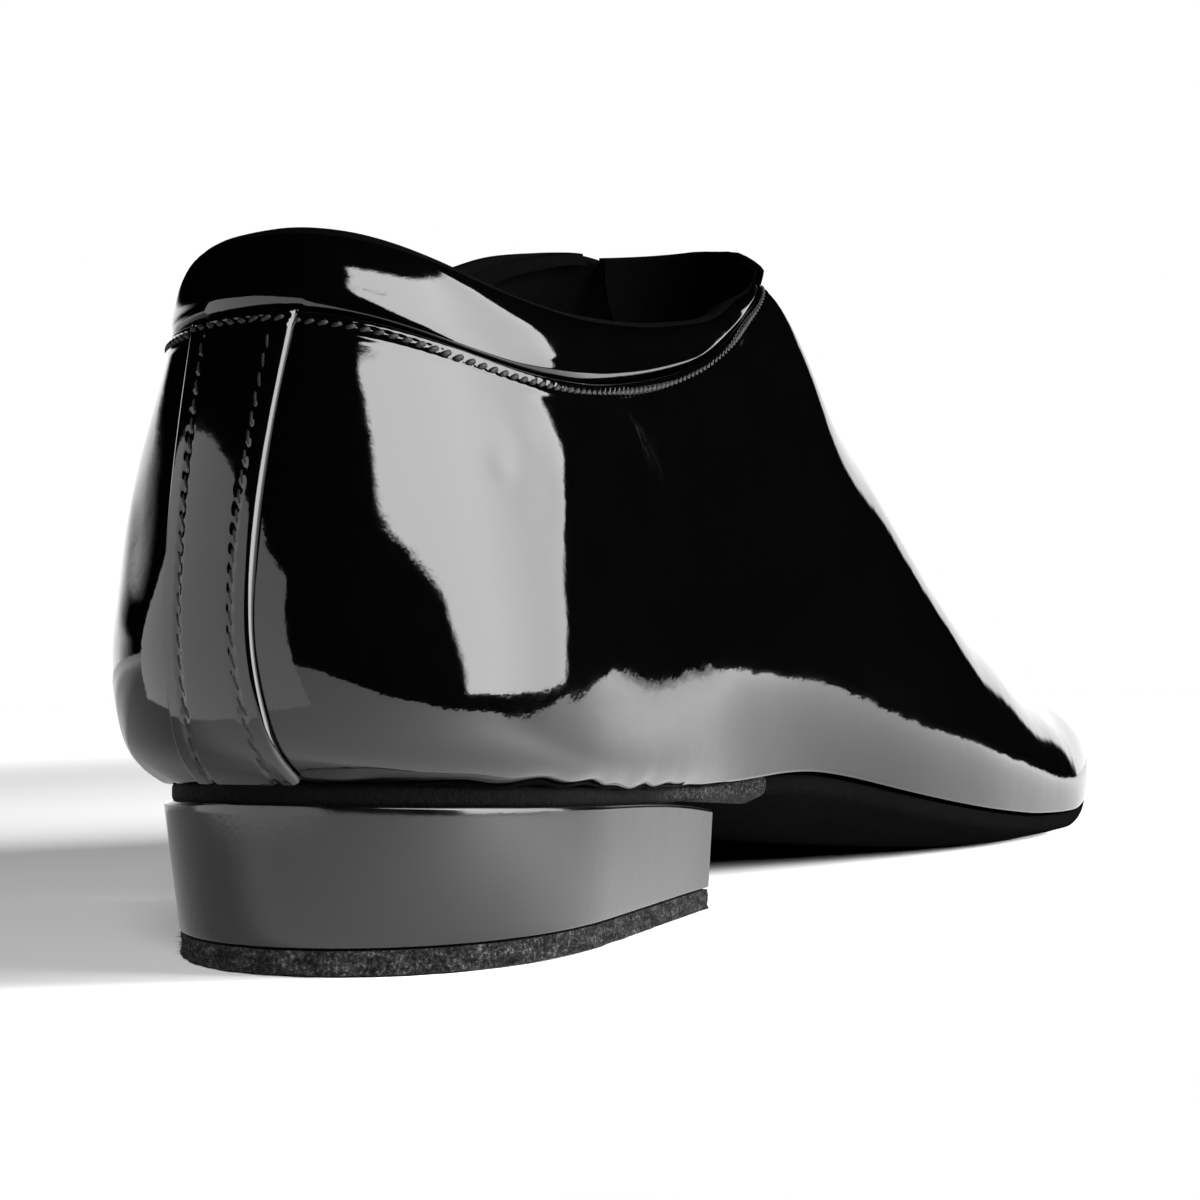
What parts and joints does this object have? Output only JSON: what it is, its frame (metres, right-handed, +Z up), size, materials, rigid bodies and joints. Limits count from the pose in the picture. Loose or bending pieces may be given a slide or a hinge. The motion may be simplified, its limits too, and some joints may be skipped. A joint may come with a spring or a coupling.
{
  "type": "ballroom dance shoe",
  "caption": "Low black patent ballroom shoe, closed toe, padded collar band, backstay, tongue, thin suede sole and covered low heel; a left shoe, hollow for the foot.",
  "frame": {"origin": "on the floor under the middle of the shoe's box", "axes": "+X towards the toe, +Y towards the wearer's left, which is the outer side of this left shoe, +Z up"},
  "size_m": [0.3045, 0.0931, 0.1168],
  "materials": {
    "patent": "mirror gloss patent",
    "collar_patent": "gloss patent",
    "heel_patent": "gloss patent over a block",
    "suede": "napped suede",
    "fibre": "matt, fibrous",
    "lining": "matt lining"
  },
  "bodies": {
    "root": {"upper": "patent", "collar": "collar_patent", "backstay": "patent", "tongue": "patent", "outsole": "suede", "insole": "lining", "heel": "heel_patent", "heel_top_piece": "fibre"}
  },
  "joints": []
}
